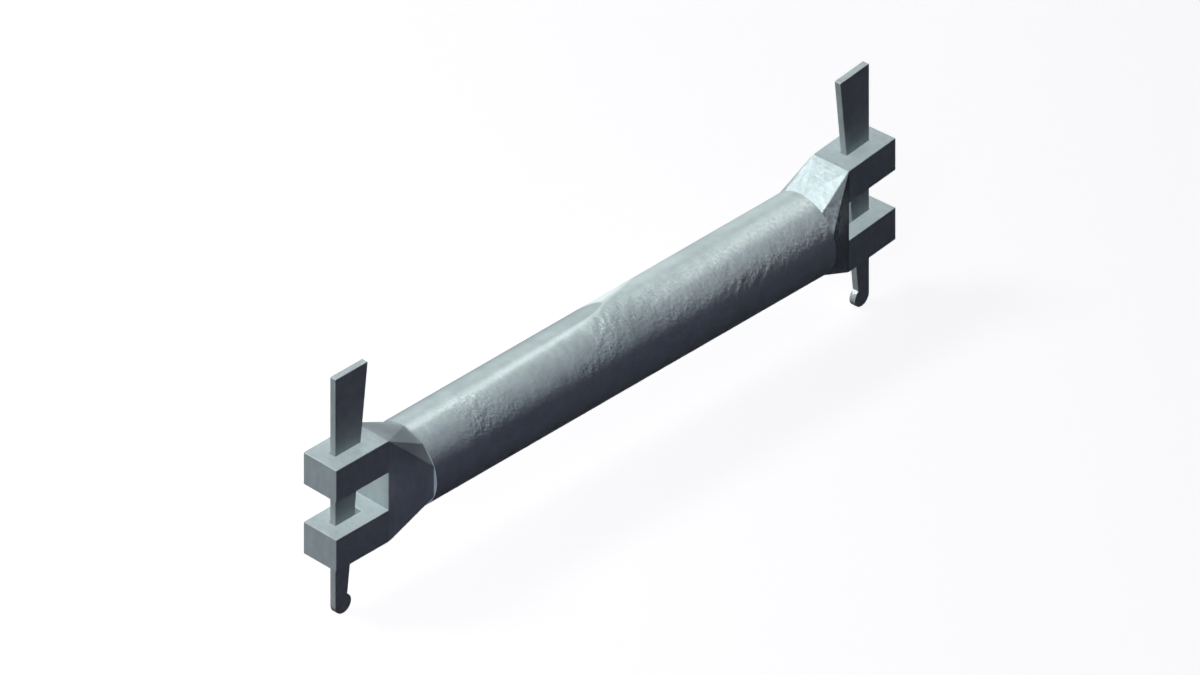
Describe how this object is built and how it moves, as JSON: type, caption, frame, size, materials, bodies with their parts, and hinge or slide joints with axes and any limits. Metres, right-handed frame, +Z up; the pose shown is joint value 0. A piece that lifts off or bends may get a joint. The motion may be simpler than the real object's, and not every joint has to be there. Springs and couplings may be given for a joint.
{
  "type": "scaffold ledger",
  "caption": "Short steel scaffold ledger: a round tube with a slotted, jawed wedge head at each end and a loose tapered wedge in each head that locks it to a ring plate.",
  "frame": {"origin": "on the tube's axis, half way along the tube", "axes": "+X along the tube towards the yawed head, +Z up, the way the wedges lift"},
  "size_m": [0.4143, 0.0484, 0.1498],
  "materials": {
    "galvanised_tube": "hot-dip galvanised, matt, with a wrinkled zinc skin",
    "galvanised_casting": "hot-dip galvanised casting, matt, faintly mottled",
    "galvanised_weld": "weld dressed flush and galvanised over",
    "galvanised_wedge": "galvanised steel plate, matt"
  },
  "bodies": {
    "ledger": {"ledger_tube": "galvanised_tube", "left_head": "galvanised_casting", "right_head": "galvanised_casting", "left_weld": "galvanised_weld", "right_weld": "galvanised_weld"},
    "left_wedge": {"left_wedge": "galvanised_wedge"},
    "right_wedge": {"right_wedge": "galvanised_wedge"}
  },
  "joints": [
    {"name": "left_wedge_lift", "type": "slide", "parent": "ledger", "child": "left_wedge", "axis": [0, 0, 1], "range_m": [0, 0.071]},
    {"name": "right_wedge_lift", "type": "slide", "parent": "ledger", "child": "right_wedge", "axis": [0, 0, 1], "range_m": [0, 0.071]}
  ]
}
